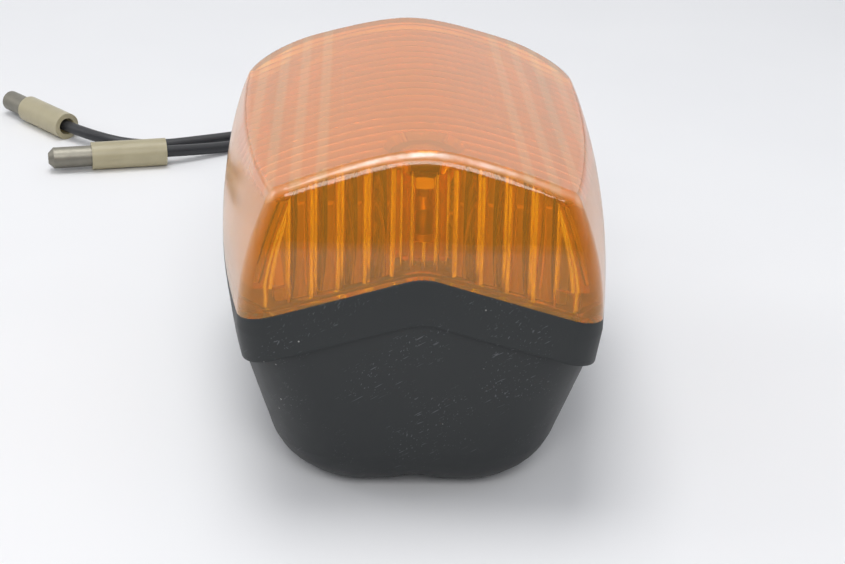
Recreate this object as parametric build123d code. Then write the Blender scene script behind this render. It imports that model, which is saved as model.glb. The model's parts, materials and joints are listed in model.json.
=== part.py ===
from build123d import *
import math
import os

os.makedirs("parts", exist_ok=True)

# Lamp outline, seen from the lens side, at the joint of lens and housing
lamp_length = 68.0
outer_width = 42.4
inner_width = 52.0
side_radius = 275.0
outer_corner = 4.5
inner_corner = 13.0
least_corner = 0.8

# Heights above the flat back of the housing
ridge_height = 32.8
lens_rise = 14.0
wall_foot = 25.0

# How far cutting shapes run past what they cut
past = 4.0

# Joint between lens and housing: a shallow roof, highest along the middle
joint_slope = 15.9
ridge_round = 7.0

# Lens
lens_wall = 2.5
wall_curve = 38.0
wall_steps = 6
wall_spare = 1.0
end_share = 0.6
corner_fade = 5.0
crown_middle = 4.5
crown_round = 20.0
crown_flank = 90.0
crown_steps = 6
top_round = 1.8
rib_crown = 36.0
rib_pitch = 2.75
rib_depth = 0.6
rib_margin = 6.5
flute_pitch = 3.1
flute_first = 5.05
flute_count = 4
slim_pitch = 1.38
slim_count = 4
corner_flutes = 2
corner_flute_r = 0.9
flute_swell = 1.14
foot_height = 2.4
foot_depth = 3.6
boss_r = 3.3
boss_flare_r = 4.7
boss_flare = 3.0
boss_share = 0.147
boss_from_end = boss_share * lamp_length
boss_hole_deep = 9.5
web_width = 2.1
web_above_ridge = 3.2

# Rim tongue, groove and gasket
tongue_out = 1.9
tongue_in = 3.1
tongue_deep = 1.4
groove_play = 0.1
gasket_thick = 1.0

# Housing
rim_band = 5.8
rim_draft = 8.0
rim_step = 0.5
rim_in = 4.8
back_side_in = 7.0
back_end_in = 5.5
back_outer_corner = 14.0
back_inner_corner = 14.0
back_round = 9.0
housing_wall = 2.5
waist_height = 17.0
tower_below_ridge = 1.3
tower_r = 4.3
tower_bore = 2.3
head_seat = 9.0
head_well_r = 3.9
tower_web = 2.0
tower_web_top = 24.0

# Stem pad of the housing and the stem
stem_length = 30.0
pad_proud = 0.5
pad_thick = 4.0
pad_r = 12.5
stem_hole_r = 8.0
rubber_play = 0.1
lip_r = 9.8
lip_thick = 2.6
collar_r = 12.2
collar_long = 3.5
waist_r = 8.6
seat_r = 14.0
seat_thick = 4.5
wire_hole_r = 3.3

# Hollow stud moulded into the stem
stud_r = 5.0
shank_r = 6.0
stud_bore_r = 3.1
stud_long = 20.0
stud_chamfer = 0.8
core_flange_r = 9.0
core_flange = 2.0
core_cover = 2.0

# Lens screw
screw_r = 1.9
screw_head_r = 3.5
screw_head = 2.6
screw_tip_gap = 1.5
screw_play = 0.05
recess_width = 1.0
recess_deep = 1.5
recess_long = 4.2

# Bulb, along the lamp, measured from its tip
bulb_share = 0.2426
bulb_from_end = bulb_share * lamp_length
globe_r = 9.0
glass_wall = 0.7
mount_r = 2.2
mount_tip = 15.5
filament_tip = 9.5
filament_half = 1.5
filament_wire_r = 0.3
cap_r = 7.5
cap_wall = 0.75
cap_start = 18.5
cap_end = 31.0
cap_floor = 0.8
pin_r = 1.0
pin_at = 25.85
pin_reach = 8.15
vitrite_r = 5.0
vitrite_tip_r = 3.2
vitrite_long = 1.0
button_r = 2.4
button_long = 1.0

# Socket around the bulb cap
shell_in_r = 7.65
shell_out_r = 8.2
shell_from_tip = 20.5
shell_long = 17.0
shell_back = 0.6
shell_back_hole = 2.6
slot_width = 2.3
hook_angle = 18.0
hook_cuts = 2
disc_r = 7.4
disc_thick = 1.4
contact_r = 2.2
contact_head = 0.7
contact_tail_r = 1.3
contact_tail = 0.4
spring_mean_r = 5.2
spring_wire_r = 0.28
spring_turns = 2.0
tab_width = 2.4
tab_long = 2.0

# Rubber ring around the socket
damper_r = 12.0
damper_lip = 2.1
damper_groove_r = 9.95

# Reflector channel
sheet = 1.2
channel_gap = 1.3
channel_start = boss_from_end + tower_r + channel_gap
channel_rim = 25.0
channel_floor = 8.0
channel_flat = 6.0
channel_from_side = 3.6
socket_wall_from_tip = 25.5
socket_wall_at = bulb_from_end + socket_wall_from_tip
socket_hole_r = 10.0
socket_wall_r = 12.7
post_r = 3.0
post_bore = 1.25
post_from_start = 4.9
post_from_wall = 4.0
post_outer = channel_start + post_from_start
post_inner = socket_wall_at - post_from_wall
small_screw_r = 1.2
small_head_r = 2.6
small_head = 1.7
small_reach = 5.5
small_recess = 3.1

# Leads, with their grommet, terminals and sleeves
lead_r = 1.1
lead_half_gap = 1.35
lead_bend = 2.9
bend_share = 0.45
lead_play = 0.05
grommet_plug = 6.0
grommet_r = 4.4
grommet_lip = 1.5
crimp_r = 1.6
crimp_long = 8.0
bullet_r = 2.0
bullet_long = 8.0
sleeve_r = 2.6
sleeve_back = 6.0
lead_lift = 0.05
lead_fall = 3.3
earth_straight = 11.0
earth_route = [(-8.0, 41.5), (-20.5, 41.0), (-32.5, 34.5), (-43.0, 27.5), (-49.5, 26.0)]
live_straight = 13.5
live_route = [(-6.0, 46.0), (-21.0, 46.0), (-35.5, 39.0), (-49.0, 33.5), (-61.0, 37.0), (-68.5, 45.5)]

# Derived places: the origin is on the stud's axis in the stem's seat face
back_z = -seat_r
pad_face_y = -stem_length
inner_end_y = pad_face_y - pad_proud
outer_end_y = inner_end_y - lamp_length
ridge_z = back_z + ridge_height
top_z = ridge_z + lens_rise
foot_z = back_z + wall_foot
bulb_z = lead_r + shell_out_r
tip_y = outer_end_y + bulb_from_end
boss_y = outer_end_y + boss_from_end
tower_top = ridge_height - tower_below_ridge
floor_round = back_round - housing_wall
span = lamp_length + stem_length

# Centre of the arc that forms each long side
chord = math.hypot(lamp_length, (inner_width - outer_width) / 2)
drop = math.sqrt(side_radius**2 - (chord / 2) ** 2)
side_x = (outer_width + inner_width) / 4 - drop * lamp_length / chord
side_y = (outer_end_y + inner_end_y) / 2 + drop * (inner_width - outer_width) / 2 / chord


def half_width(y, side_in=0.0):
    return side_x + math.sqrt((side_radius - side_in) ** 2 - (y - side_y) ** 2)


def plan(side_in, end_in, outer_r, inner_r):
    """Lamp outline with its sides and ends drawn in and its corners rounded."""
    y_out = outer_end_y + end_in
    y_in = inner_end_y - end_in
    y_mid = (y_out + y_in) / 2
    x_out = half_width(y_out, side_in)
    x_in = half_width(y_in, side_in)
    x_mid = half_width(y_mid, side_in)
    face = make_face(
        [
            Line((-x_out, y_out), (x_out, y_out)),
            ThreePointArc((x_out, y_out), (x_mid, y_mid), (x_in, y_in)),
            Line((x_in, y_in), (-x_in, y_in)),
            ThreePointArc((-x_in, y_in), (-x_mid, y_mid), (-x_out, y_out)),
        ]
    )
    face = fillet(face.vertices().group_by(Axis.Y)[0], outer_r)
    return fillet(face.vertices().group_by(Axis.Y)[-1], inner_r)


def even_plan(inset):
    return plan(inset, inset, max(outer_corner - inset, least_corner), inner_corner - inset)


def below_joint(lowered):
    """All that lies under the roof-shaped joint, lowered by a distance."""
    peak = ridge_z - lowered
    eave = peak - span * math.tan(math.radians(joint_slope))
    low = eave - span
    roof = [(0, peak), (span, eave), (span, low), (-span, low), (-span, eave)]
    face = make_face(Polyline(*roof, close=True))
    face = fillet(face.vertices().sort_by(Axis.Y)[-1], ridge_round)
    return extrude(Plane.XZ * face, amount=2 * span, both=True)


def ring_at_joint(outside, inside, high, low):
    """Ring that follows the outline, between two heights measured from the joint."""
    ring = even_plan(outside) - even_plan(inside)
    wall = Pos(0, 0, back_z) * extrude(ring, amount=ridge_height + foot_height)
    return wall & (below_joint(-high) - below_joint(-low))


def turned(points):
    """Solid turned about the Y axis from pairs of radius and length."""
    return revolve(make_face(Polyline(*points, close=True)), Axis.Y)


def along_y(radius, start, end, x=0.0, z=0.0):
    """Round bar along Y."""
    return Pos(x, (start + end) / 2, z) * Cylinder(radius, end - start, rotation=(90, 0, 0))


# Lens: curved walls rise from the joint and lean in towards the crowned top
def wall_lean(rise):
    return wall_curve - math.sqrt(wall_curve**2 - rise**2)


def lens_section(rise, thinner):
    lean = wall_lean(rise)
    outer_r = max(outer_corner * math.exp(-lean / corner_fade) - thinner, least_corner)
    inner_r = max(inner_corner - lean - thinner, least_corner)
    face = plan(lean + thinner, lean * end_share + thinner, outer_r, inner_r)
    return Pos(0, 0, foot_z + rise) * face


wall_rise = top_z - foot_z
wall_rises = [(wall_rise + wall_spare) * n / wall_steps for n in range(wall_steps + 1)]
lens_block = loft([lens_section(rise, 0) for rise in wall_rises])


# Crown: two faintly bowed flanks and a rounded ridge, the same all along the lamp
def crown_drop(x):
    near = min(abs(x), crown_middle)
    far = abs(x) - near
    return near**2 / (2 * crown_round) + far * crown_middle / crown_round + far**2 / (2 * crown_flank)


def under_crown(lowered):
    """All that lies under the crowned top, lowered by a distance."""
    reach = inner_width / 2 + past
    places = [reach * n / crown_steps for n in range(-crown_steps, crown_steps + 1)]
    line = Spline([(x, top_z - lowered - crown_drop(x)) for x in places])
    low = back_z
    face = make_face([line, Polyline(line @ 1, (reach, low), (-reach, low), line @ 0)])
    return extrude(Plane.XZ * face, amount=2 * span, both=True)


lens_outer = (lens_block & under_crown(0)) - below_joint(0)
crown_face = lens_outer.faces().sort_by(Axis.Z)[-1]
lens_outer = fillet(crown_face.edges(), top_round)

# Room inside, with cross ribs like saw teeth on its ceiling
rib_floor = top_z - lens_wall
rib_axis = Axis((0, 0, top_z - rib_crown), (0, 1, 0))
rib_start = outer_end_y + rib_margin
rib_number = int((lamp_length - 2 * rib_margin) / rib_pitch)
rib_line = [(outer_end_y - past, rib_floor), (rib_start, rib_floor)]
for n in range(1, rib_number + 1):
    rib_line.append((rib_start + n * rib_pitch, rib_floor - rib_depth))
    rib_line.append((rib_start + n * rib_pitch, rib_floor))
rib_line.append((inner_end_y + past, rib_floor))
rib_line += [(inner_end_y + past, top_z - rib_crown), (outer_end_y - past, top_z - rib_crown)]
ceiling = revolve(make_face(Polyline([(0, y, z) for y, z in rib_line], close=True)), rib_axis)
lens_room = loft([lens_section(rise, lens_wall) for rise in wall_rises])
lens_room += Pos(0, 0, foot_z - past) * extrude(even_plan(lens_wall), amount=past)
lens_room = lens_room & ceiling

# Flutes: half-round columns inside the outer end wall, bent with the wall
flute_y = outer_end_y + lens_wall
flute_x = [side * (flute_first + n * flute_pitch) for n in range(flute_count) for side in (-1, 1)]
slim_x = [(n - (slim_count - 1) / 2) * slim_pitch for n in range(slim_count)]
end_curve = wall_curve / end_share
flute_climb = wall_rise - lens_wall / 2
climb_angle = math.degrees(math.asin(flute_climb / end_curve))
bend_axis = Axis((0, outer_end_y + end_curve, foot_z), (-1, 0, 0))
columns = Sketch() + [Pos(x, flute_y) * Circle(flute_swell * flute_pitch / 2) for x in flute_x]
columns += [Pos(x, flute_y) * Circle(flute_swell * slim_pitch / 2) for x in slim_x]
flutes = revolve(Pos(0, 0, foot_z) * columns, bend_axis, climb_angle)

corner_columns = []
for side in (-1, 1):
    for n in range(corner_flutes):
        way = math.radians(90 * (n + 1) / (corner_flutes + 1))
        line_points = []
        for rise in (0, flute_climb / 2, flute_climb):
            lean = wall_lean(rise)
            bend = max(outer_corner * math.exp(-lean / corner_fade), lens_wall + least_corner)
            y = outer_end_y + lean * end_share + bend
            x = side * (half_width(y, lean) - bend)
            reach = bend - lens_wall
            across = side * reach * math.cos(way)
            line_points.append((x + across, y - reach * math.sin(way), foot_z + rise))
        line = ThreePointArc(*line_points)
        corner_columns.append(sweep(Plane(line @ 0, z_dir=line % 0) * Circle(corner_flute_r), line))

boss_foot = back_z + tower_top
boss = Pos(0, boss_y, boss_foot) * extrude(Circle(boss_r), amount=rib_floor + lens_wall / 2 - boss_foot)
flare = Cone(boss_r, boss_flare_r, boss_flare, align=(Align.CENTER, Align.CENTER, Align.MIN))
boss += Pos(0, boss_y, rib_floor - boss_flare) * flare
web_z = ridge_z + web_above_ridge
web_top = rib_floor + lens_wall / 2
boss += Pos(0, (outer_end_y + boss_y) / 2, (web_z + web_top) / 2) * Box(
    web_width, boss_from_end, web_top - web_z
)

lens = lens_outer - lens_room
lens += boss & lens_outer
lens_middle = lens_outer & under_crown(lens_wall / 2)
lens += flutes & lens_middle
for column in corner_columns:
    lens += column & lens_middle
lens += ring_at_joint(lens_wall / 2, foot_depth, foot_height, 0) & lens_outer
lens += ring_at_joint(tongue_out, tongue_in, 0, -tongue_deep)
lens -= Pos(0, boss_y, boss_foot) * extrude(Circle(screw_r + screw_play), amount=boss_hole_deep)
export_step(lens, "parts/lens.step")
print("lens", lens.is_valid, len(lens.solids()), round(lens.volume))

# Gasket under the lens tongue
gasket_low = tongue_deep + gasket_thick
gasket = ring_at_joint(tongue_out, tongue_in, -tongue_deep, -gasket_low)
export_step(gasket, "parts/lens_gasket.step")

# Housing: a band under the joint, then a body that narrows to the flat back
draft_gain = math.tan(math.radians(rim_draft))


def band_section(depth):
    return Pos(0, 0, foot_z - depth) * plan(depth * draft_gain, 0, outer_corner, inner_corner)


band = lens_block + loft([band_section(wall_foot), band_section(0)], ruled=True)
band = band & (below_joint(0) - below_joint(rim_band))

side_band_low = ridge_height - rim_band - math.tan(math.radians(joint_slope)) * inner_width / 2
side_gain = (back_side_in - rim_step - (wall_foot - side_band_low) * draft_gain) / side_band_low
end_gain = (back_end_in - rim_step) / (ridge_height - rim_band)


def body_section(height, thicker=0.0):
    side_in = back_side_in - side_gain * height + thicker
    end_in = back_end_in - end_gain * height + thicker
    part_up = height / ridge_height
    outer_r = back_outer_corner + (outer_corner - back_outer_corner) * part_up - thicker
    inner_r = back_inner_corner + (inner_corner - back_inner_corner) * part_up - thicker
    return Pos(0, 0, back_z + height) * plan(side_in, end_in, outer_r, inner_r)


body = loft([body_section(0), body_section(ridge_height)], ruled=True)
body = fillet(body.faces().sort_by(Axis.Z)[0].edges(), back_round)
body += along_y(pad_r, pad_face_y - pad_thick, pad_face_y)
housing = band + (body & below_joint(rim_band))

room_ends = [body_section(height, housing_wall) for height in (housing_wall, waist_height)]
room = loft(room_ends, ruled=True)
room = fillet(room.faces().sort_by(Axis.Z)[0].edges(), floor_round)
room += Pos(0, 0, back_z + waist_height) * extrude(even_plan(rim_in), amount=ridge_height)
housing -= room

# Screw tower at the outer end, with a web to the end wall
floor_z = back_z + housing_wall
tower = Pos(0, boss_y, floor_z) * extrude(Circle(tower_r), amount=tower_top - housing_wall)
web_long = boss_from_end - housing_wall
tower += Pos(0, boss_y - web_long / 2, back_z + (housing_wall + tower_web_top) / 2) * Box(
    tower_web, web_long, tower_web_top - housing_wall
)
well_wall = Pos(0, boss_y, floor_z) * extrude(Circle(head_well_r + housing_wall / 2), amount=head_seat)
housing += (tower + well_wall) & (body + room)
housing -= Pos(0, boss_y, back_z) * extrude(Circle(head_well_r), amount=head_seat)
housing -= Pos(0, boss_y, back_z) * extrude(Circle(tower_bore), amount=tower_top)

# Posts for the reflector
for post_at in (post_outer, post_inner):
    post = extrude(Circle(post_r) - Circle(post_bore), amount=channel_floor - housing_wall)
    housing += Pos(0, outer_end_y + post_at, floor_z) * post

# Stem hole, with a flat seat for the stem's inner lip
pad_inner_y = pad_face_y - pad_thick
housing -= along_y(lip_r + rubber_play, pad_inner_y - 2 * lip_thick, pad_inner_y)
housing -= along_y(stem_hole_r, pad_inner_y - lip_thick, pad_face_y + lip_thick)

# Rim groove for gasket and tongue
housing -= ring_at_joint(tongue_out - groove_play, tongue_in + groove_play, 0, -gasket_low)
export_step(housing, "parts/housing.step")
print("housing", housing.is_valid, len(housing.solids()), round(housing.volume))

# Lens screw, driven from the back
screw = Cylinder(screw_head_r, screw_head, align=(Align.CENTER, Align.CENTER, Align.MAX))
screw = fillet(screw.faces().sort_by(Axis.Z)[0].edges(), screw_head / 2)
screw_reach = tower_top - head_seat + boss_hole_deep - screw_tip_gap
shank = Cylinder(screw_r, screw_reach, align=(Align.CENTER, Align.CENTER, Align.MIN))
screw += chamfer(shank.faces().sort_by(Axis.Z)[-1].edges(), screw_r / 2)
for turn in (0, 90):
    arm = Box(recess_long, recess_width, recess_deep, align=(Align.CENTER, Align.CENTER, Align.MIN))
    screw -= Pos(0, 0, -screw_head) * Rot(0, 0, turn) * arm
screw = Pos(0, boss_y, back_z + head_seat) * screw
export_step(screw, "parts/lens_screw.step")

# Reflector: an open channel under the bulb and an upright wall for the socket
channel_end = socket_wall_at + sheet
rim_side_in = rim_in + channel_from_side - lens_wall


def channel_section(at, thinner):
    part_along = (at - channel_start) / (channel_end - channel_start)
    first_half = half_width(outer_end_y + channel_start, rim_side_in)
    last_half = half_width(outer_end_y + channel_end, rim_side_in)
    rim_half = first_half + (last_half - first_half) * part_along - thinner
    low = back_z + channel_floor + thinner
    high = back_z + channel_rim
    mid_x = channel_flat + (rim_half - channel_flat) * math.sqrt(0.5)
    mid_z = high - (high - low) * math.sqrt(0.5)
    face = make_face(
        [
            Line((-channel_flat, low), (channel_flat, low)),
            ThreePointArc((channel_flat, low), (mid_x, mid_z), (rim_half, high)),
            Line((rim_half, high), (-rim_half, high)),
            ThreePointArc((-rim_half, high), (-mid_x, mid_z), (-channel_flat, low)),
        ]
    )
    return Pos(0, outer_end_y + at, 0) * (Plane.XZ * face)


wall_y = outer_end_y + socket_wall_at
outside = [channel_section(at, 0) for at in (channel_start, channel_end)]
inside = [channel_section(at, sheet) for at in (channel_start - sheet, socket_wall_at)]
reflector = loft(outside, ruled=True) - loft(inside, ruled=True)
reflector +=along_y(socket_wall_r, wall_y, wall_y + sheet, z=bulb_z)
reflector -= along_y(socket_hole_r, wall_y - sheet, wall_y + 2 * sheet, z=bulb_z)
channel_top = back_z + channel_floor + sheet
for post_at, name in ((post_outer, "outer"), (post_inner, "inner")):
    place = Pos(0, outer_end_y + post_at, channel_top)
    reflector -= place * Cylinder(post_bore, 4 * sheet)
    small = Cylinder(small_head_r, small_head, align=(Align.CENTER, Align.CENTER, Align.MIN))
    small = fillet(small.faces().sort_by(Axis.Z)[-1].edges(), small_head / 2)
    small += Cylinder(small_screw_r, small_reach, align=(Align.CENTER, Align.CENTER, Align.MAX))
    for turn in (0, 90):
        arm = Box(small_recess, recess_width, small_head, align=(Align.CENTER, Align.CENTER, Align.MIN))
        small -=Pos(0, 0, small_head / 2) * Rot(0, 0, turn) * arm
    export_step(place * small, f"parts/reflector_screw_{name}.step")
export_step(reflector, "parts/reflector.step")

# Bulb: globe and neck in one glass, with a solid mount inside
at_bulb = Pos(0, tip_y, bulb_z)
neck_r = cap_r - cap_wall - lead_play
glass_end = cap_end - cap_floor


def bulb_outline(r, neck, start, end):
    join = globe_r + math.sqrt(r**2 - neck**2)
    return make_face(
        [
            ThreePointArc((0, start), (r, globe_r), (neck, join)),
            Polyline((neck, join), (neck, end), (0, end), (0, start)),
        ]
    )


glass_face = bulb_outline(globe_r, neck_r, 0, glass_end)
gas_face = bulb_outline(globe_r - glass_wall, neck_r - glass_wall, glass_wall, glass_end - glass_wall)
gas_face -= Pos(0, mount_tip) * Rectangle(mount_r, glass_end, align=(Align.MIN, Align.MIN))
export_step(at_bulb * revolve(glass_face - gas_face, Axis.Y), "parts/bulb_glass.step")

filament = along_y(filament_wire_r, filament_tip, mount_tip, x=filament_half)
filament += along_y(filament_wire_r, filament_tip, mount_tip, x=-filament_half)
filament += Pos(0, filament_tip, 0) * Cylinder(
    filament_wire_r, 2 * (filament_half + filament_wire_r), rotation=(0, 90, 0)
)
export_step(at_bulb * filament, "parts/bulb_filament.step")

cap_in = cap_r - cap_wall
cap = turned(
    [
        (cap_in, cap_start),
        (cap_r, cap_start),
        (cap_r, cap_end),
        (vitrite_r, cap_end),
        (vitrite_r, glass_end),
        (cap_in, glass_end),
    ]
)
pin_long = pin_reach - cap_in - cap_wall / 2
for turn in (hook_angle, hook_angle + 180):
    pin = Cylinder(pin_r, pin_long, rotation=(0, 90, 0))
    cap += Rot(0, turn, 0) * Pos(pin_reach - pin_long / 2, pin_at, 0) * pin
export_step(at_bulb * cap, "parts/bulb_cap.step")

vitrite_end = cap_end + vitrite_long
vitrite = turned(
    [
        (0, glass_end),
        (vitrite_r - lead_play, glass_end),
        (vitrite_r - lead_play, cap_end),
        (vitrite_tip_r, vitrite_end),
        (0, vitrite_end),
    ]
)
export_step(at_bulb * vitrite, "parts/bulb_insulator.step")

button_end = vitrite_end + button_long
button = along_y(button_r, vitrite_end, button_end)
button = fillet(button.faces().sort_by(Axis.Y)[-1].edges(), button_long / 2)
export_step(at_bulb * button, "parts/bulb_contact.step")

# Socket shell with two hooked slots, an earth tab and a back wall
shell_end = shell_from_tip + shell_long
back_in = shell_end - shell_back
shell = turned(
    [
        (shell_in_r, shell_from_tip),
        (shell_out_r, shell_from_tip),
        (shell_out_r, shell_end),
        (shell_back_hole, shell_end),
        (shell_back_hole, back_in),
        (shell_in_r, back_in),
    ]
)
slot_end = pin_at + slot_width / 2
for side in (0, 180):
    entry = Pos(shell_out_r, (shell_from_tip + slot_end) / 2, 0) * Box(
        2 * pin_r, slot_end - shell_from_tip, slot_width
    )
    shell -= Rot(0, side, 0) * entry
    for cut in range(1, hook_cuts + 1):
        hook = Pos(shell_out_r, pin_at, 0) * Box(2 * pin_r, slot_width, slot_width)
        shell -= Rot(0, side + hook_angle * cut / hook_cuts, 0) * hook
tab_y = (back_in + shell_end + tab_long) / 2
tab_z = shell_back / 2 - shell_out_r
shell += Pos(-lead_half_gap, tab_y, tab_z) * Box(tab_width, shell_back + tab_long, shell_back)
export_step(at_bulb * shell, "parts/socket_shell.step")

# Contact disc with its riveted button, pressed on the bulb by a coil
disc_start = button_end + contact_head
disc_end = disc_start + disc_thick
tail_end = disc_end + contact_tail
disc = along_y(disc_r, disc_start, disc_end) - along_y(contact_tail_r, disc_start, disc_end)
export_step(at_bulb * disc, "parts/contact_disc.step")
contact = along_y(contact_r, button_end, disc_start) + along_y(contact_tail_r, disc_start, tail_end)
export_step(at_bulb * contact, "parts/centre_contact.step")

coil_long = back_in - disc_end - 2 * spring_wire_r
coil_line = Helix(pitch=coil_long / spring_turns, height=coil_long, radius=spring_mean_r)
coil = sweep(Plane(coil_line @ 0, z_dir=coil_line % 0) * Circle(spring_wire_r), coil_line)
coil = Pos(0, disc_end + spring_wire_r, 0) * Rot(-90, 0, 0) * coil
export_step(at_bulb * coil, "parts/contact_spring.step")

# Rubber ring that carries the socket in the reflector wall
wall_at = socket_wall_from_tip
damper = turned(
    [
        (shell_out_r, wall_at - damper_lip),
        (damper_r, wall_at - damper_lip),
        (damper_r, wall_at),
        (damper_groove_r, wall_at),
        (damper_groove_r, wall_at + sheet),
        (damper_r, wall_at + sheet),
        (damper_r, wall_at + sheet + damper_lip),
        (shell_out_r, wall_at + sheet + damper_lip),
    ]
)
export_step(at_bulb * damper, "parts/socket_damper.step")

# Stem: rubber, with a snap-in neck, a waist and a broad seat
neck_in = stem_hole_r - rubber_play
lip_y = pad_inner_y - lip_thick
collar_y = pad_face_y + collar_long
core_start = pad_face_y + core_cover
core_end = core_start + core_flange
stem_face = make_face(
    [
        Polyline(
            (wire_hole_r, lip_y),
            (lip_r, lip_y),
            (lip_r, pad_inner_y),
            (neck_in, pad_inner_y),
            (neck_in, pad_face_y),
            (collar_r, pad_face_y),
            (collar_r, collar_y),
        ),
        ThreePointArc((collar_r, collar_y), (waist_r, (collar_y - seat_thick) / 2), (collar_r, -seat_thick)),
        Polyline(
            (collar_r, -seat_thick),
            (seat_r, -seat_thick),
            (seat_r, 0),
            (shank_r, 0),
            (shank_r, core_end),
            (core_flange_r, core_end),
            (core_flange_r, core_start),
            (wire_hole_r, core_start),
            (wire_hole_r, lip_y),
        ),
    ]
)
export_step(revolve(stem_face, Axis.Y), "parts/stem.step")

# Hollow stud with its flange inside the rubber
core = turned(
    [
        (stud_bore_r, core_start),
        (core_flange_r, core_start),
        (core_flange_r, core_end),
        (shank_r, core_end),
        (shank_r, 0),
        (stud_r, 0),
        (stud_r, stud_long - stud_chamfer),
        (stud_r - stud_chamfer, stud_long),
        (stud_bore_r, stud_long),
    ]
)
export_step(core, "parts/stem_core.step")

# Grommet in the end of the stud, with a hole for each lead
exit_y = stud_long + grommet_lip
plug_r = stud_bore_r - lead_play
grommet = along_y(plug_r, stud_long - grommet_plug, stud_long) + along_y(grommet_r, stud_long, exit_y)
for side in (-1, 1):
    grommet -= along_y(lead_r, stud_long - grommet_plug, exit_y, x=side * lead_half_gap)
export_step(grommet, "parts/lead_grommet.step")


# Leads: round wire along straight runs joined by bends
def lead(points, radii):
    path = FilletPolyline(*points, radius=radii)
    return sweep(Plane(path @ 0, z_dir=path % 0) * Circle(lead_r), path)


turn_y = (tip_y + shell_end + lip_y) / 2
live_inner = lead(
    [
        (0, tip_y + tail_end, bulb_z),
        (0, turn_y, bulb_z),
        (lead_half_gap, turn_y, 0),
        (lead_half_gap, exit_y, 0),
    ],
    lead_bend,
)
export_step(live_inner, "parts/live_lead_inner.step")
earth_inner = along_y(lead_r, tip_y + shell_end, exit_y, x=-lead_half_gap)
export_step(earth_inner, "parts/earth_lead_inner.step")


def bend_radii(points):
    """Largest bends that leave each straight run a little of its length."""
    radii = []
    for before, here, after in zip(points, points[1:], points[2:]):
        one = Vector(*here) - Vector(*before)
        two = Vector(*after) - Vector(*here)
        half_turn = math.radians(one.get_angle(two)) / 2
        radii.append(bend_share * min(one.length, two.length) / math.tan(half_turn))
    return radii


# Free leads: out of the grommet, down to the table and away to one side
table_z = back_z + lead_r + lead_lift
sleeve_z = back_z + sleeve_r + lead_lift
sleeve_in_r = crimp_r + lead_play
bullet_start = crimp_long
bullet_end = crimp_long + bullet_long
free_leads = (("live", 1, live_straight, live_route), ("earth", -1, earth_straight, earth_route))
for name, side, straight, route in free_leads:
    out_x = side * lead_half_gap
    heights = [table_z + lead_fall] + [table_z] * (len(route) - 3) + [sleeve_z] * 2
    points = [(out_x, exit_y, 0), (out_x, exit_y + straight, 0)]
    points += [(x, y, z) for (x, y), z in zip(route, heights)]
    radii = bend_radii(points)
    print(name, "bends", [round(radius, 1) for radius in radii])
    wire = lead(points, radii)
    export_step(wire, f"parts/{name}_lead.step")
    print(name, "lead length", round(wire.volume / (math.pi * lead_r**2), 1))

    last = Vector(*points[-1])
    place = Plane(last, z_dir=last - Vector(*points[-2])).location * Rot(90, 0, 0)
    bullet = turned(
        [
            (0, 0),
            (crimp_r, 0),
            (crimp_r, bullet_start),
            (bullet_r, bullet_start),
            (bullet_r, bullet_end - bullet_r / 2),
            (bullet_r / 2, bullet_end),
            (0, bullet_end),
        ]
    )
    export_step(place * bullet, f"parts/{name}_bullet.step")
    sleeve = turned(
        [
            (sleeve_in_r, -sleeve_back),
            (sleeve_r, -sleeve_back),
            (sleeve_r, bullet_start),
            (sleeve_in_r, bullet_start),
        ]
    )
    export_step(place * sleeve, f"parts/{name}_sleeve.step")
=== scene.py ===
import json
import math

import bpy
from mathutils import Matrix, Vector


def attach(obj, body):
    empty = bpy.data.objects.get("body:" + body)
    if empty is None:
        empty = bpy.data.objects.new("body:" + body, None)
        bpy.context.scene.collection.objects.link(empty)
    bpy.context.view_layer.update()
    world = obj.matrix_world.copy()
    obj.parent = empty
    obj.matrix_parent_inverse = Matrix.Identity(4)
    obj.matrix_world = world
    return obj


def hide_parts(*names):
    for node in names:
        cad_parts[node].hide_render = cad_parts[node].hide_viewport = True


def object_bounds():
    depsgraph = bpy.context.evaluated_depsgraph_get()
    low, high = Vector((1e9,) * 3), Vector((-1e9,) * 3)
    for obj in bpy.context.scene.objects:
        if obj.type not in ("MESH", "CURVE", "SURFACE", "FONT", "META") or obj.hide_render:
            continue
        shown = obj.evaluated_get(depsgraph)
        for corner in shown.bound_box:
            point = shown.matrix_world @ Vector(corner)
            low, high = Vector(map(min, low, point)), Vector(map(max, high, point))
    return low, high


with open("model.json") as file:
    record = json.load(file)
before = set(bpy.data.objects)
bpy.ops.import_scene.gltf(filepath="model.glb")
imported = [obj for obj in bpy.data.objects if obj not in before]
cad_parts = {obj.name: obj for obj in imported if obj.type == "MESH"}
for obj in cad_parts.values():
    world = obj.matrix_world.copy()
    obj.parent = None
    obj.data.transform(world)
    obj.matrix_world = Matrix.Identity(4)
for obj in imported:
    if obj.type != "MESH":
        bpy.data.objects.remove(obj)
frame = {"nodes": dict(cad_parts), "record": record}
cad_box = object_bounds()
nodes = frame["nodes"]

MM = 0.001

# Camera: its place from the middle of the stud's seat, and the way it looks
CAMERA_AT_MM = (-9.1, -272.3, 96.5)
CAMERA_RIGHT_DEG = 2.95
CAMERA_DOWN_DEG = 24.14
CAMERA_ROLL_DEG = 2.0
FOCAL_PX = 1650.0
IMAGE_WIDTH_PX = 845
SENSOR_MM = 36.0
NEAREST_SEEN_MM = 10

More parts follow.
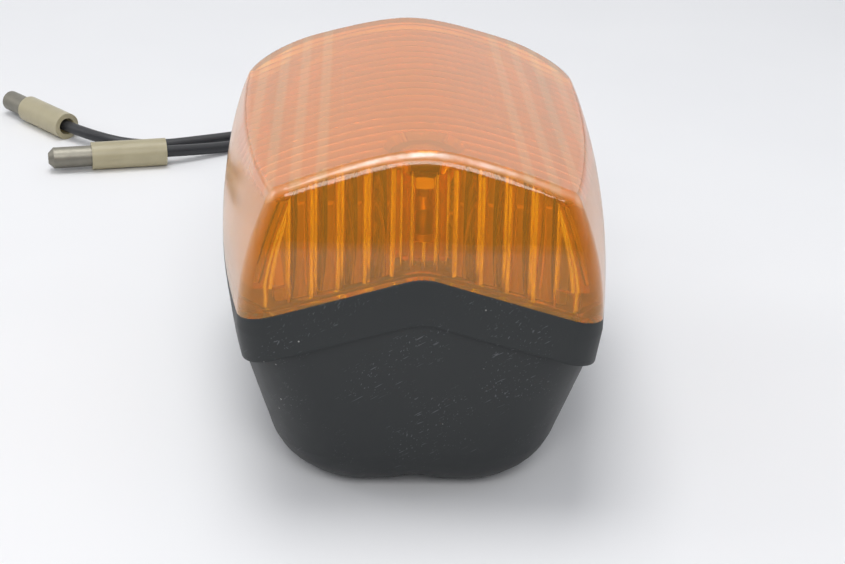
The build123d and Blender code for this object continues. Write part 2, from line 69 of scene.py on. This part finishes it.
# Leads: each route starts where the lead leaves the grommet, falls to the table and ends in its sleeve
LEAD_DIAMETER_MM = 2.2
FALLING_Z_MM = -9.55
LYING_Z_MM = -12.85
SLEEVE_Z_MM = -11.35
EARTH_ROUTE_MM = [
    (-1.35, 21.5, 0),
    (-1.35, 32.5, 0),
    (-8, 41.5, FALLING_Z_MM),
    (-20.5, 41, LYING_Z_MM),
    (-32.5, 34.5, LYING_Z_MM),
    (-43, 27.5, SLEEVE_Z_MM),
    (-49.5, 26, SLEEVE_Z_MM),
]
LIVE_ROUTE_MM = [
    (1.35, 21.5, 0),
    (1.35, 35, 0),
    (-6, 46, FALLING_Z_MM),
    (-21, 46, LYING_Z_MM),
    (-35.5, 39, LYING_Z_MM),
    (-49, 33.5, LYING_Z_MM),
    (-61, 37, SLEEVE_Z_MM),
    (-68.5, 45.5, SLEEVE_Z_MM),
]
EVEN_PULL = 1.0

# Stud: a hollow bolt with a metric thread, its shank and flange hidden in the rubber
STUD_R_MM = 5.0
STUD_END_MM = 20.0
STUD_CHAMFER_MM = 0.8
STUD_BORE_MM = 3.1
SHANK_R_MM = 6.0
FLANGE_R_MM = 9.0
FLANGE_FROM_MM = -28.0
FLANGE_TO_MM = -26.0
THREAD_PITCH_MM = 1.25
THREAD_DEPTH_MM = 0.75
THREAD_STEEPNESS = 1.6
THREAD_ROOT_CUT = 0.4
RINGS_PER_PITCH = 10
STUD_SIDES = 72

# Inside of the cup, and the screw well that opens at the back
CUP_MIDDLE_MM = (0, -64, 14)
CUP_INNER_END_MM = -33.5
WELL_AT_MM = -88.5
WELL_R_MM = 5.0

# Lens top: the level where it starts, which sinks towards the sides, its column stripes of painted light, and
# its painted highlight along the end edge
TOP_FROM_MM = 31.3
TOP_TO_MM = 32.0
TOP_CURVE_MM = 70.0
PAINTED_COLUMN_WIDTH_MM = 3.0
PAINTED_COLUMNS_FROM_MM = 9.6
# Painted highlight along the end edge: where it starts, and where it is strongest and weakest across
HIGHLIGHT_FROM_MM = -85.0
HIGHLIGHT_MOST_MM = 3
HIGHLIGHT_LEAST_MM = 15

# Places of a mix node's two colours, and of the colour it gives
MIX_LOW = 6
MIX_HIGH = 7
MIXED = 2


def linear(hex_colour):
    """An sRGB hex value as linear red, green, blue and alpha, by the standard sRGB curve."""
    channels = [int(hex_colour[i:i + 2], 16) / 255 for i in (1, 3, 5)]
    return [c / 12.92 if c <= 0.04045 else ((c + 0.055) / 1.055) ** 2.4 for c in channels] + [1.0]


def add(tree, kind, inputs=None, **settings):
    """Adds a node, sets its fields, and sets or links its inputs."""
    made = tree.nodes.new(kind)
    for field, value in settings.items():
        setattr(made, field, value)
    for socket, value in (inputs or {}).items():
        if isinstance(value, bpy.types.Node):
            tree.links.new(value.outputs[0], made.inputs[socket])
        elif isinstance(value, bpy.types.NodeSocket):
            tree.links.new(value, made.inputs[socket])
        else:
            made.inputs[socket].default_value = value
    return made


def new_material(name):
    """An empty material with its output, and object coordinates in metres."""
    material = bpy.data.materials.new(name)
    material.use_nodes = True
    tree = material.node_tree
    tree.nodes.clear()
    output = add(tree, "ShaderNodeOutputMaterial")
    place = add(tree, "ShaderNodeTexCoord").outputs["Object"]
    return material, tree, output, place


def per_mm(size_mm):
    """Texture scale at which one cell of a pattern has this size."""
    return 1 / (size_mm * MM)


def moulded_black_abs():
    """Charcoal ABS from a spark-eroded mould: a dull sheen, short scratches and pale dust specks.

    Faces that look at the middle of the cup are sprayed white, which lights the lens from within.
    The real grain is finer, and is drawn this coarse so that it shows.
    """
    grain_mm = 0.45
    grain_depth_mm = 0.05
    cloud_mm = 16
    handled_patch_mm = 7
    scratch_length_mm = 5
    scratch_width_mm = 0.22
    scratch_turns = ((0.2, 0.5, 0.3), (0.9, -0.4, 1.2), (-0.5, 1.0, -0.7))
    dust_spacing_mm = 2.4
    eased_edge_mm = 0.5
    material, tree, output, place = new_material("moulded_black_abs")
    grain = add(tree, "ShaderNodeTexNoise", {"Vector": place, "Scale": per_mm(grain_mm), "Detail": 4.0})
    cloud = add(tree, "ShaderNodeTexNoise", {"Vector": place, "Scale": per_mm(cloud_mm), "Detail": 3.0})
    patch = add(tree, "ShaderNodeTexNoise", {
        "Vector": place, "Scale": per_mm(handled_patch_mm), "Detail": 2.0})
    # On the cup this mask is handling wear only, where scratches and dust gather
    wear_and_highlight = add(tree, "ShaderNodeMapRange", {"Value": patch, "From Min": 0.46, "From Max": 0.62})
    colour = add(tree, "ShaderNodeMix", {
        "Factor": cloud, MIX_LOW: linear("#1b1e1f"), MIX_HIGH: linear("#252829")}, data_type="RGBA")

    # Scratches in three directions, only where the cup was handled
    for turn in scratch_turns:
        turned = add(tree, "ShaderNodeMapping", {"Vector": place, "Rotation": turn})
        drawn = add(tree, "ShaderNodeMapping", {
            "Vector": turned,
            "Scale": (per_mm(scratch_length_mm), per_mm(scratch_width_mm), per_mm(scratch_width_mm))})
        streak = add(tree, "ShaderNodeTexNoise", {"Vector": drawn, "Scale": 1.0, "Detail": 1.0})
        line = add(tree, "ShaderNodeMapRange", {
            "Value": streak, "From Min": 0.70, "From Max": 0.75, "To Max": 0.6})
        scratch = add(tree, "ShaderNodeMath", {0: line, 1: wear_and_highlight}, operation="MULTIPLY")
        colour = add(tree, "ShaderNodeMix", {
            "Factor": scratch, MIX_LOW: colour.outputs[MIXED], MIX_HIGH: linear("#5d5f63")},
            data_type="RGBA")

    # Dust specks in the same places
    dust = add(tree, "ShaderNodeTexVoronoi", {"Vector": place, "Scale": per_mm(dust_spacing_mm)})
    speck = add(tree, "ShaderNodeMapRange", {
        "Value": dust, "From Min": 0.03, "From Max": 0.055, "To Min": 1.0, "To Max": 0.0})
    some = add(tree, "ShaderNodeMath", {0: speck, 1: wear_and_highlight}, operation="MULTIPLY")
    colour = add(tree, "ShaderNodeMix", {
        "Factor": some, MIX_LOW: colour.outputs[MIXED], MIX_HIGH: linear("#a9a8a4")}, data_type="RGBA")

    # White spray inside the cup, but not in the screw well
    from_middle = add(tree, "ShaderNodeVectorMath", {
        0: place, 1: [x * MM for x in CUP_MIDDLE_MM]}, operation="SUBTRACT")
    facing = add(tree, "ShaderNodeTexCoord").outputs["Normal"]
    outward = add(tree, "ShaderNodeVectorMath", {0: from_middle, 1: facing}, operation="DOT_PRODUCT")
    inner = add(tree, "ShaderNodeMath", {0: outward.outputs["Value"], 1: 0.0}, operation="LESS_THAN")
    axes = add(tree, "ShaderNodeSeparateXYZ", {"Vector": place})
    in_cup = add(tree, "ShaderNodeMath", {
        0: axes.outputs["Y"], 1: CUP_INNER_END_MM * MM}, operation="LESS_THAN")
    in_plan = add(tree, "ShaderNodeCombineXYZ", {"X": axes.outputs["X"], "Y": axes.outputs["Y"]})
    off_well = add(tree, "ShaderNodeVectorMath", {
        0: in_plan, 1: (0, WELL_AT_MM * MM, 0)}, operation="DISTANCE")
    clear_of_well = add(tree, "ShaderNodeMath", {
        0: off_well.outputs["Value"], 1: WELL_R_MM * MM}, operation="GREATER_THAN")
    sprayed = add(tree, "ShaderNodeMath", {0: inner, 1: in_cup}, operation="MULTIPLY")
    sprayed = add(tree, "ShaderNodeMath", {0: sprayed, 1: clear_of_well}, operation="MULTIPLY")
    colour = add(tree, "ShaderNodeMix", {
        "Factor": sprayed, MIX_LOW: colour.outputs[MIXED], MIX_HIGH: linear("#eeede8")},
        data_type="RGBA")

    rough = add(tree, "ShaderNodeMapRange", {
        "Value": cloud, "From Min": 0.3, "From Max": 0.7, "To Min": 0.46, "To Max": 0.6})
    eased = add(tree, "ShaderNodeBevel", {"Radius": eased_edge_mm * MM})
    bump = add(tree, "ShaderNodeBump", {
        "Height": grain, "Strength": 0.12, "Distance": grain_depth_mm * MM, "Normal": eased})
    shader = add(tree, "ShaderNodeBsdfPrincipled", {
        "Base Color": colour.outputs[MIXED], "Roughness": rough, "IOR": 1.46, "Normal": bump})
    tree.links.new(shader.outputs[0], output.inputs["Surface"])
    return material


def moulded_amber_acrylic():
    """Amber PMMA, polished in the mould: clear and glossy, deeper in colour where it is thicker.

    Its ribbed top spreads light and looks milky orange; the paler pillow stripes at its sides are painted
    light.
    The rounded edge over the end wall has a painted white highlight, uneven like scuffing, and the side walls
    are rougher, with a painted pale reflection.
    """
    handling_mm = 14
    scuff_mm = 2.5
    wall_clearness = 0.82
    top_clearness = 0.62
    # Painted light: how much paler the column stripes are painted
    column_painted_light = 0.55
    # Painted reflection: how pale the side walls are painted
    side_painted_reflection = 0.2
    haze_roughness = 0.8
    material, tree, output, place = new_material("moulded_amber_acrylic")
    axes = add(tree, "ShaderNodeSeparateXYZ", {"Vector": place})
    normal = add(tree, "ShaderNodeTexCoord").outputs["Normal"]
    facing = add(tree, "ShaderNodeSeparateXYZ", {"Vector": normal})
    aside = add(tree, "ShaderNodeMath", {0: axes.outputs["X"]}, operation="ABSOLUTE")

    # Ribbed top, above a level that sinks towards the sides
    square = add(tree, "ShaderNodeMath", {0: aside, 1: aside}, operation="MULTIPLY")
    sag = add(tree, "ShaderNodeMath", {0: square, 1: TOP_CURVE_MM * MM}, operation="DIVIDE")
    level = add(tree, "ShaderNodeMath", {0: axes.outputs["Z"], 1: sag}, operation="ADD")
    top = add(tree, "ShaderNodeMapRange", {
        "Value": level, "From Min": TOP_FROM_MM * MM, "From Max": TOP_TO_MM * MM})

    # Painted light: paler column stripes at the sides of the top, for the light that comes through the pillow
    # optics
    wave = add(tree, "ShaderNodeMath", {
        0: axes.outputs["X"], 1: math.tau * per_mm(PAINTED_COLUMN_WIDTH_MM)}, operation="MULTIPLY")
    pillow = add(tree, "ShaderNodeMath", {0: wave}, operation="COSINE")
    crest = add(tree, "ShaderNodeMapRange", {
        "Value": pillow, "From Min": -0.1, "From Max": 0.5, "To Max": column_painted_light})
    beside = add(tree, "ShaderNodeMath", {0: aside, 1: PAINTED_COLUMNS_FROM_MM * MM}, operation="GREATER_THAN")
    painted_column_light = add(tree, "ShaderNodeMath", {0: crest, 1: beside}, operation="MULTIPLY")

    # Painted highlight, white and uneven like scuffing, on the rounded turn from the top to the end wall,
    # most in the middle
    below_top = add(tree, "ShaderNodeMapRange", {
        "Value": facing.outputs["Y"], "From Min": -0.2, "From Max": -0.45})
    above_wall = add(tree, "ShaderNodeMapRange", {
        "Value": facing.outputs["Y"], "From Min": -0.82, "From Max": -0.6})
    at_end = add(tree, "ShaderNodeMath", {
        0: axes.outputs["Y"], 1: HIGHLIGHT_FROM_MM * MM}, operation="LESS_THAN")
    toward_sides = add(tree, "ShaderNodeMapRange", {
        "Value": aside, "From Min": HIGHLIGHT_MOST_MM * MM, "From Max": HIGHLIGHT_LEAST_MM * MM,
        "To Min": 1.0, "To Max": 0.4})
    scuff = add(tree, "ShaderNodeTexNoise", {"Vector": place, "Scale": per_mm(scuff_mm), "Detail": 4.0})
    scuffed = add(tree, "ShaderNodeMapRange", {
        "Value": scuff, "From Min": 0.3, "From Max": 0.65, "To Min": 0.3, "To Max": 0.8})
    wear_and_highlight = below_top
    for share in (above_wall, at_end, top, toward_sides, scuffed):
        wear_and_highlight = add(tree, "ShaderNodeMath", {0: wear_and_highlight, 1: share}, operation="MULTIPLY")

    # Side walls: rougher, and a painted pale reflection on them
    sideways = add(tree, "ShaderNodeMath", {0: facing.outputs["X"]}, operation="ABSOLUTE")
    haze_and_painted_reflection = add(tree, "ShaderNodeMapRange", {
        "Value": sideways, "From Min": 0.6, "From Max": 0.95, "To Max": side_painted_reflection})

    # The painted highlight and the painted side reflection both take from how clear the lens is
    clear = add(tree, "ShaderNodeMapRange", {
        "Value": top, "To Min": wall_clearness, "To Max": top_clearness})
    for loss in (wear_and_highlight, haze_and_painted_reflection):
        left = add(tree, "ShaderNodeMath", {0: 1.0, 1: loss}, operation="SUBTRACT")
        clear = add(tree, "ShaderNodeMath", {0: clear, 1: left}, operation="MULTIPLY")
    handling = add(tree, "ShaderNodeTexNoise", {"Vector": place, "Scale": per_mm(handling_mm), "Detail": 5.0})
    rough = add(tree, "ShaderNodeMapRange", {
        "Value": handling, "From Min": 0.35, "From Max": 0.7, "To Min": 0.02, "To Max": 0.08})
    rough = add(tree, "ShaderNodeMath", {0: haze_and_painted_reflection, 1: haze_roughness, 2: rough}, operation="MULTIPLY_ADD")

    # The paler colour along the column stripes is painted light
    ribbed = add(tree, "ShaderNodeMix", {
        "Factor": painted_column_light, MIX_LOW: linear("#ffa642"), MIX_HIGH: linear("#ffcb7e")}, data_type="RGBA")
    colour = add(tree, "ShaderNodeMix", {
        "Factor": top, MIX_LOW: linear("#ffb63a"), MIX_HIGH: ribbed.outputs[MIXED]}, data_type="RGBA")
    # The pale colour on the side walls is a painted reflection
    colour = add(tree, "ShaderNodeMix", {
        "Factor": haze_and_painted_reflection, MIX_LOW: colour.outputs[MIXED], MIX_HIGH: linear("#f6e6da")}, data_type="RGBA")
    # The near-white colour is the painted highlight on the end edge, uneven like scuffing
    colour = add(tree, "ShaderNodeMix", {
        "Factor": wear_and_highlight, MIX_LOW: colour.outputs[MIXED], MIX_HIGH: linear("#fff1ea")}, data_type="RGBA")
    shader = add(tree, "ShaderNodeBsdfPrincipled", {
        "Base Color": colour.outputs[MIXED], "Roughness": rough, "IOR": 1.49, "Transmission Weight": clear})
    depth = add(tree, "ShaderNodeVolumeAbsorption", {"Color": linear("#fff700"), "Density": 300.0})
    tree.links.new(shader.outputs[0], output.inputs["Surface"])
    tree.links.new(depth.outputs[0], output.inputs["Volume"])
    return material


def moulded_black_rubber():
    """Carbon-black rubber: matt, with a faint bloom and a moulded grain, drawn coarse so that it shows."""
    bloom_mm = 8
    grain_mm = 0.6
    grain_depth_mm = 0.08
    material, tree, output, place = new_material("moulded_black_rubber")
    bloom = add(tree, "ShaderNodeTexNoise", {"Vector": place, "Scale": per_mm(bloom_mm), "Detail": 4.0})
    grain = add(tree, "ShaderNodeTexNoise", {"Vector": place, "Scale": per_mm(grain_mm), "Detail": 3.0})
    bump = add(tree, "ShaderNodeBump", {
        "Height": grain, "Strength": 0.2, "Distance": grain_depth_mm * MM})
    colour = add(tree, "ShaderNodeMix", {
        "Factor": bloom, MIX_LOW: linear("#151516"), MIX_HIGH: linear("#242425")}, data_type="RGBA")
    shader = add(tree, "ShaderNodeBsdfPrincipled", {
        "Base Color": colour.outputs[MIXED], "Roughness": 0.75, "IOR": 1.48, "Normal": bump})
    tree.links.new(shader.outputs[0], output.inputs["Surface"])
    return material


def bare_or_plated_metal(name, dark, light, roughness, grain_mm):
    """Bare or plated metal: a mirror-like body colour with dull patches.

    Its drawing marks are drawn coarser than they are, so that they show.
    """
    grains_per_patch = 6
    smoothest = 0.8
    roughest = 1.25
    material, tree, output, place = new_material(name)
    patch = add(tree, "ShaderNodeTexNoise", {
        "Vector": place, "Scale": per_mm(grain_mm * grains_per_patch), "Detail": 3.0})
    marks = add(tree, "ShaderNodeTexNoise", {"Vector": place, "Scale": per_mm(grain_mm), "Detail": 2.0})
    rough = add(tree, "ShaderNodeMapRange", {
        "Value": marks, "To Min": roughness * smoothest, "To Max": roughness * roughest})
    colour = add(tree, "ShaderNodeMix", {
        "Factor": patch, MIX_LOW: linear(dark), MIX_HIGH: linear(light)}, data_type="RGBA")
    shader = add(tree, "ShaderNodeBsdfPrincipled", {
        "Base Color": colour.outputs[MIXED], "Roughness": rough, "Metallic": 1.0})
    tree.links.new(shader.outputs[0], output.inputs["Surface"])
    return material


def opaque_resin_or_glass(name, dark, light, roughness, ior, grain_mm):
    """Opaque resin, enamel, glass or vinyl: soft gloss over a slightly uneven colour."""
    grain_depth_mm = 0.05
    material, tree, output, place = new_material(name)
    fleck = add(tree, "ShaderNodeTexNoise", {"Vector": place, "Scale": per_mm(grain_mm), "Detail": 4.0})
    bump = add(tree, "ShaderNodeBump", {
        "Height": fleck, "Strength": 0.1, "Distance": grain_depth_mm * MM})
    colour = add(tree, "ShaderNodeMix", {
        "Factor": fleck, MIX_LOW: linear(dark), MIX_HIGH: linear(light)}, data_type="RGBA")
    shader = add(tree, "ShaderNodeBsdfPrincipled", {
        "Base Color": colour.outputs[MIXED], "Roughness": roughness, "IOR": ior, "Normal": bump})
    tree.links.new(shader.outputs[0], output.inputs["Surface"])
    return material


def blown_lamp_glass():
    """Thin soda-lime glass: clear, with a hard bright gloss and faint ripples from blowing."""
    ripple_mm = 7
    ripple_depth_mm = 0.1
    material, tree, output, place = new_material("blown_lamp_glass")
    ripple = add(tree, "ShaderNodeTexNoise", {"Vector": place, "Scale": per_mm(ripple_mm), "Detail": 1.0})
    bump = add(tree, "ShaderNodeBump", {
        "Height": ripple, "Strength": 0.05, "Distance": ripple_depth_mm * MM})
    shader = add(tree, "ShaderNodeBsdfPrincipled", {
        "Base Color": linear("#f6f8f7"), "Roughness": 0.02, "IOR": 1.51, "Transmission Weight": 1.0,
        "Normal": bump})
    tree.links.new(shader.outputs[0], output.inputs["Surface"])
    return material


def aged_clear_pvc():
    """Once-clear vinyl sleeve, yellowed and cloudy: light goes in and comes out softened."""
    cloud_mm = 4
    material, tree, output, place = new_material("aged_clear_pvc")
    cloud = add(tree, "ShaderNodeTexNoise", {"Vector": place, "Scale": per_mm(cloud_mm), "Detail": 3.0})
    colour = add(tree, "ShaderNodeMix", {
        "Factor": cloud, MIX_LOW: linear("#b9ae8b"), MIX_HIGH: linear("#cfc6a6")}, data_type="RGBA")
    shader = add(tree, "ShaderNodeBsdfPrincipled", {
        "Base Color": colour.outputs[MIXED], "Roughness": 0.38, "IOR": 1.53, "Transmission Weight": 0.35})
    tree.links.new(shader.outputs[0], output.inputs["Surface"])
    return material


def painted_white_board():
    """White painted board: flat white, darkened only by the shadow."""
    mottle_mm = 60
    material, tree, output, place = new_material("pale_table")
    mottle = add(tree, "ShaderNodeTexNoise", {"Vector": place, "Scale": per_mm(mottle_mm), "Detail": 2.0})
    colour = add(tree, "ShaderNodeMix", {
        "Factor": mottle, MIX_LOW: linear("#ededee"), MIX_HIGH: linear("#f4f4f4")}, data_type="RGBA")
    shader = add(tree, "ShaderNodeBsdfPrincipled", {"Base Color": colour.outputs[MIXED], "Roughness": 0.8})
    tree.links.new(shader.outputs[0], output.inputs["Surface"])
    return material


finish_of_slot = {
    "housing_plastic": moulded_black_abs(),
    "amber_lens": moulded_amber_acrylic(),
    "black_rubber": moulded_black_rubber(),
    "zinc_steel": bare_or_plated_metal(
        "zinc_plated_steel", dark="#8f9296", light="#b9bcbf", roughness=0.32, grain_mm=0.5),
    "bright_reflector": opaque_resin_or_glass(
        "white_enamelled_steel", dark="#f1f0ea", light="#f8f7f3", roughness=0.25, ior=1.55, grain_mm=3.0),
    "plated_brass": bare_or_plated_metal(
        "nickel_plated_brass", dark="#c4bda9", light="#d8d2c0", roughness=0.28, grain_mm=0.6),
    "brown_phenolic": opaque_resin_or_glass(
        "pressed_phenolic", dark="#4a2a17", light="#63391f", roughness=0.5, ior=1.6, grain_mm=0.8),
    "brass": bare_or_plated_metal(
        "tinned_brass", dark="#75726a", light="#918e83", roughness=0.45, grain_mm=0.5),
    "spring_steel": bare_or_plated_metal(
        "drawn_spring_steel", dark="#70757a", light="#8c9196", roughness=0.3, grain_mm=0.4),
    "clear_glass": blown_lamp_glass(),
    "tungsten": bare_or_plated_metal(
        "drawn_tungsten", dark="#5c5f63", light="#75797d", roughness=0.4, grain_mm=0.3),
    "black_glass": opaque_resin_or_glass(
        "fused_black_glass", dark="#101114", light="#1a1b20", roughness=0.1, ior=1.6, grain_mm=2.0),
    "solder": bare_or_plated_metal(
        "dull_solder", dark="#9a9b99", light="#b7b8b5", roughness=0.45, grain_mm=0.6),
    "lead_pvc": opaque_resin_or_glass(
        "extruded_black_pvc", dark="#1c1d20", light="#2b2c30", roughness=0.45, ior=1.5, grain_mm=1.2),
    "sleeve_pvc": aged_clear_pvc(),
}
slot_of_node = {part["node"]: part["material_slot"] for part in frame["record"]["subparts"]}
for name, piece in nodes.items():
    piece.data.materials.clear()
    piece.data.materials.append(finish_of_slot[slot_of_node[name]])


def lead(name, node, route_mm):
    """A limp lead that follows its route as one smooth spline, in place of the part's own lead; its terminal
    and sleeve stay as in the part.
    """
    curve = bpy.data.curves.new(name, "CURVE")
    curve.dimensions = "3D"
    curve.bevel_depth = LEAD_DIAMETER_MM / 2 * MM
    curve.bevel_resolution = 6
    curve.resolution_u = 16
    curve.use_fill_caps = True
    spline = curve.splines.new("NURBS")
    spline.points.add(len(route_mm) - 1)
    for point, at in zip(spline.points, route_mm):
        point.co = [x * MM for x in at] + [EVEN_PULL]
    spline.order_u = 3
    spline.use_endpoint_u = True
    piece = bpy.data.objects.new(name, curve)
    bpy.context.scene.collection.objects.link(piece)
    curve.materials.append(finish_of_slot["lead_pvc"])
    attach(piece, "root")
    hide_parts(node)


lead("live_wire", "live_lead", LIVE_ROUTE_MM)
lead("earth_wire", "earth_lead", EARTH_ROUTE_MM)


def thread_radius(along_mm, turn):
    """Radius of the thread at a place along the stud, where turn is the share of a full turn."""
    phase = (along_mm / THREAD_PITCH_MM - turn) % 1.0
    height = min(max(abs(2 * phase - 1) * THREAD_STEEPNESS - THREAD_ROOT_CUT, 0), 1)
    chamfer = min(STUD_R_MM, STUD_R_MM - STUD_CHAMFER_MM + STUD_END_MM - along_mm)
    return min(STUD_R_MM - THREAD_DEPTH_MM * (1 - height), chamfer)


def stud_point(radius_mm, along_mm, turn):
    """A point around the stud's axis, in metres."""
    angle = math.tau * turn
    return (radius_mm * math.cos(angle) * MM, along_mm * MM, radius_mm * math.sin(angle) * MM)


# Threaded stud: rings of points from the bore's free end, down the thread, over the flange and back up
turns = [n / STUD_SIDES for n in range(STUD_SIDES)]
stud_points = [stud_point(STUD_BORE_MM, STUD_END_MM, t) for t in turns]
thread_steps = round(STUD_END_MM / THREAD_PITCH_MM * RINGS_PER_PITCH)
for step in range(thread_steps, -1, -1):
    along = STUD_END_MM * step / thread_steps
    stud_points += [stud_point(thread_radius(along, t), along, t) for t in turns]
hidden_rings = [
    (SHANK_R_MM, 0),
    (SHANK_R_MM, FLANGE_TO_MM),
    (FLANGE_R_MM, FLANGE_TO_MM),
    (FLANGE_R_MM, FLANGE_FROM_MM),
    (STUD_BORE_MM, FLANGE_FROM_MM),
]
for radius, along in hidden_rings:
    stud_points += [stud_point(radius, along, t) for t in turns]
ring_count = len(stud_points) // STUD_SIDES
stud_faces = []
for ring in range(ring_count):
    this = ring * STUD_SIDES
    below = (ring + 1) % ring_count * STUD_SIDES
    for n in range(STUD_SIDES):
        m = (n + 1) % STUD_SIDES
        stud_faces.append((this + n, this + m, below + m, below + n))
stud_mesh = bpy.data.meshes.new("threaded_stud")
stud_mesh.from_pydata(stud_points, [], stud_faces)
stud_mesh.materials.append(finish_of_slot["zinc_steel"])
stud = bpy.data.objects.new("threaded_stud", stud_mesh)
bpy.context.scene.collection.objects.link(stud)
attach(stud, "root")
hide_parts("stem_core")

# Table under the lamp, at the height of its back
TABLE_HALF_M = 3.0
table_z = cad_box[0][2]
corners = ((-1, -1), (1, -1), (1, 1), (-1, 1))
table_points = [(x * TABLE_HALF_M, y * TABLE_HALF_M, table_z) for x, y in corners]
table_mesh = bpy.data.meshes.new("table")
table_mesh.from_pydata(table_points, [], [(0, 1, 2, 3)])
table_mesh.materials.append(painted_white_board())
table = bpy.data.objects.new("table", table_mesh)
bpy.context.scene.collection.objects.link(table)

# World: white where it is seen or looked at through glass. Mirrors see it white on the far side of the
# room and overhead, and dim on the near side.
ROOM_LIGHT = 0.43
NEAR_SIDE = 0.15
WHITE = 1.0
world = bpy.data.worlds.new("white_room")
bpy.context.scene.world = world
world.use_nodes = True
sky = world.node_tree
sky.nodes.clear()
direction = add(sky, "ShaderNodeTexCoord").outputs["Generated"]
way = add(sky, "ShaderNodeSeparateXYZ", {"Vector": direction})
far_side = add(sky, "ShaderNodeMapRange", {
    "Value": way.outputs["Y"], "From Min": -0.7, "From Max": 0.1, "To Min": NEAR_SIDE, "To Max": WHITE})
overhead = add(sky, "ShaderNodeMapRange", {
    "Value": way.outputs["Z"], "From Min": 0.3, "From Max": 0.8, "To Min": 0.0, "To Max": WHITE})
brightness = add(sky, "ShaderNodeMath", {0: far_side, 1: overhead}, operation="MAXIMUM")
path = add(sky, "ShaderNodeLightPath")
through = path.outputs["Is Transmission Ray"]
brightness = add(sky, "ShaderNodeMath", {0: brightness, 1: through}, operation="MAXIMUM")
seen_in = add(sky, "ShaderNodeMath", {0: path.outputs["Is Glossy Ray"], 1: through}, operation="MAXIMUM")
lighting = add(sky, "ShaderNodeBackground", {"Color": linear("#f4f7ff"), "Strength": ROOM_LIGHT})
mirrored = add(sky, "ShaderNodeBackground", {"Color": linear("#ffffff"), "Strength": brightness})
backdrop = add(sky, "ShaderNodeBackground", {"Color": linear("#ffffff"), "Strength": WHITE})
room = add(sky, "ShaderNodeMixShader", {0: seen_in, 1: lighting, 2: mirrored})
room = add(sky, "ShaderNodeMixShader", {0: path.outputs["Is Camera Ray"], 1: room, 2: backdrop})
add(sky, "ShaderNodeOutputWorld", {"Surface": room})

# Lamps: a broad panel overhead, a window at the left and a panel behind the camera
INDICATOR_MIDDLE_MM = (0, -60, 10)


def softbox(name, at_mm, size_mm, radiance):
    """A soft lamp of even brightness turned towards the middle of the indicator."""
    lamp = bpy.data.lights.new(name, "AREA")
    lamp.shape = "RECTANGLE"
    lamp.size, lamp.size_y = [side * MM for side in size_mm]
    lamp.energy = radiance * math.pi * lamp.size * lamp.size_y
    holder = bpy.data.objects.new(name, lamp)
    holder.location = Vector(at_mm) * MM
    toward = Vector(INDICATOR_MIDDLE_MM) - Vector(at_mm)
    holder.rotation_euler = toward.to_track_quat("-Z", "Y").to_euler()
    bpy.context.scene.collection.objects.link(holder)


softbox("ceiling_panel", at_mm=(-70, -40, 640), size_mm=(420, 300), radiance=4.9)
softbox("window_left", at_mm=(-620, 40, 330), size_mm=(260, 260), radiance=2.5)
softbox("front_panel", at_mm=(0, -700, 500), size_mm=(400, 300), radiance=6.5)

# Camera, turned to the right, then down, then rolled about its own line of sight
view_right = math.radians(CAMERA_RIGHT_DEG)
view_down = math.radians(CAMERA_DOWN_DEG)
roll = math.radians(CAMERA_ROLL_DEG)
level = math.cos(view_down)
forward = Vector((math.sin(view_right) * level, math.cos(view_right) * level, -math.sin(view_down)))
flat = Vector((math.cos(view_right), -math.sin(view_right), 0))
upright = flat.cross(forward)
across = flat * math.cos(roll) + upright * math.sin(roll)
up = upright * math.cos(roll) - flat * math.sin(roll)
camera_data = bpy.data.cameras.new("camera")
camera_data.sensor_width = SENSOR_MM
camera_data.lens = SENSOR_MM * FOCAL_PX / IMAGE_WIDTH_PX
camera_data.clip_start = NEAREST_SEEN_MM * MM
camera = bpy.data.objects.new("camera", camera_data)
turn_to_view = Matrix((across, up, -forward)).transposed().to_4x4()
camera.matrix_world = Matrix.Translation(Vector(CAMERA_AT_MM) * MM) @ turn_to_view
bpy.context.scene.collection.objects.link(camera)
bpy.context.scene.camera = camera
bpy.context.scene.view_settings.view_transform = "Standard"
